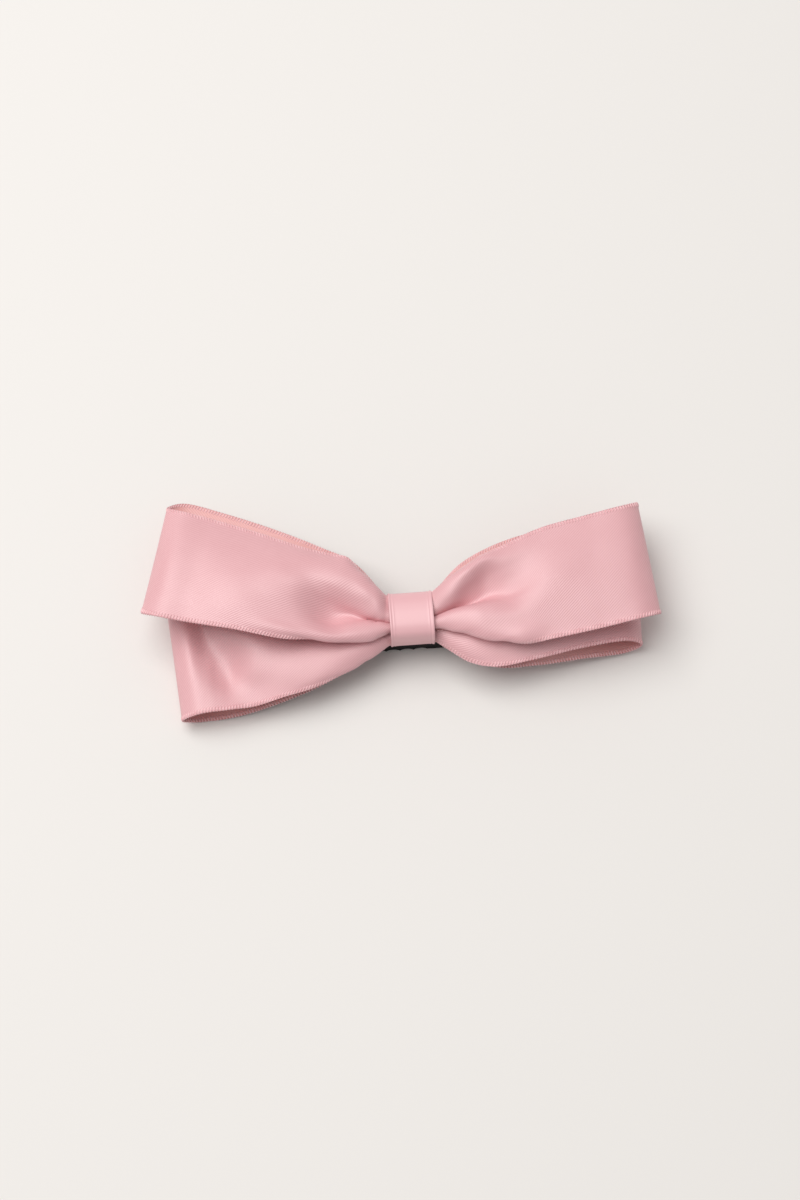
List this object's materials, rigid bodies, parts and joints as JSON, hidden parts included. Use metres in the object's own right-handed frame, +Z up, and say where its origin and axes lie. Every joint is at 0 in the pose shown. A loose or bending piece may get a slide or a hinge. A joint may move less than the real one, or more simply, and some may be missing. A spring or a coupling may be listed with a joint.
{
  "type": "hair barrette",
  "caption": "Hair barrette: a double satin ribbon bow with a wrapped knot, glued to a black toothed spring clip with thumb levers.",
  "frame": {"origin": "below the knot, on the flat underside of the lower jaw", "axes": "+X along the clip towards its levers, +Y towards the longer upper-left loop, +Z up through the knot"},
  "size_m": [0.1101, 0.0463, 0.0163],
  "materials": {
    "clip_enamel": "black enamel over pressed steel",
    "spring_wire": "drawn spring wire",
    "glue": "set hot-melt glue",
    "wrap_satin": "dusty pink satin ribbon",
    "bow_satin": "dusty pink satin ribbon with a picot selvedge",
    "thread": "pink sewing thread"
  },
  "bodies": {
    "bow": {"upper_jaw": "clip_enamel", "pivot_pin": "clip_enamel", "torsion_spring": "spring_wire", "glue_pad": "glue", "knot_wrap": "wrap_satin", "rear_bow_ribbon": "bow_satin", "front_bow_ribbon": "bow_satin", "rear_gather_thread": "thread", "front_gather_thread": "thread"},
    "lower_jaw": {"lower_jaw": "clip_enamel"}
  },
  "joints": [
    {"name": "clip_hinge", "type": "hinge", "parent": "bow", "child": "lower_jaw", "pos_m": [0.01, 0, 0.0027], "axis": [0, -1, 0], "range_deg": [0, 22], "stiffness_Nm_per_rad": 0.05, "springref_deg": -22.92, "deforming": ["torsion_spring"]}
  ]
}
